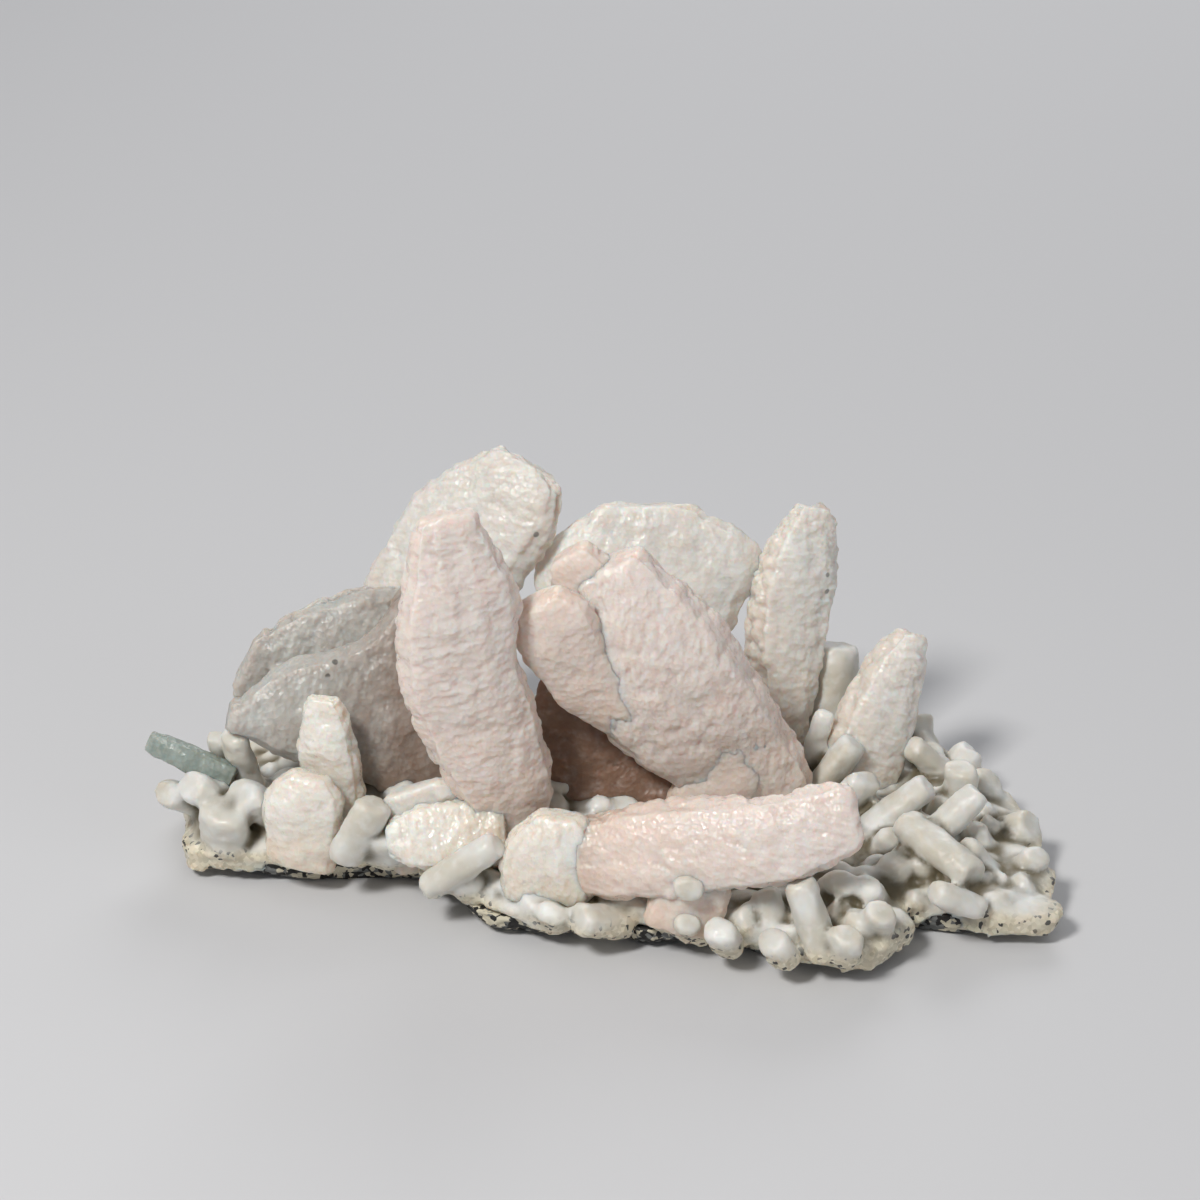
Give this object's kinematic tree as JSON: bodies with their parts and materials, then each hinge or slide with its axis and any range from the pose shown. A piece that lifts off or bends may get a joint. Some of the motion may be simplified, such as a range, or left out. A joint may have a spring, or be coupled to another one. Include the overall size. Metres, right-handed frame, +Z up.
{
  "type": "manganocalcite specimen",
  "caption": "Mineral specimen: curved lens-shaped manganocalcite crystals standing on a crust of small calcite crystals over a slab of dark rock",
  "frame": {"origin": "the middle of the specimen's bounding box in plan, on the plane that its rock rests on", "axes": "+Z up; +X to the right and +Y to the back, seen from the side that the large crystals face"},
  "size_m": [0.1488, 0.0829, 0.0723],
  "materials": {
    "rock": "dark granular rock with pale grains, matt",
    "crust": "milky white small calcite crystals, satin",
    "pink_calcite": "translucent pale pink calcite with a rough sparkling face",
    "white_calcite": "translucent milky white calcite, satin",
    "grey_calcite": "translucent blue-grey calcite, satin"
  },
  "bodies": {
    "root": {"rock": "rock", "crust": "crust", "tall_front_blade": "pink_calcite", "great_blade": "pink_calcite", "low_front_blade": "pink_calcite", "shaded_blade": "pink_calcite", "front_broken_blade": "white_calcite", "left_wedge_blade": "white_calcite", "left_arched_blade": "white_calcite", "high_back_blade": "white_calcite", "back_fan_blade": "white_calcite", "back_spindle": "white_calcite", "right_spindle": "white_calcite", "upright_crystal": "white_calcite", "pearly_chunk": "white_calcite", "low_arched_blade": "white_calcite", "low_scaly_blade": "white_calcite", "grey_prism": "grey_calcite"}
  },
  "joints": []
}
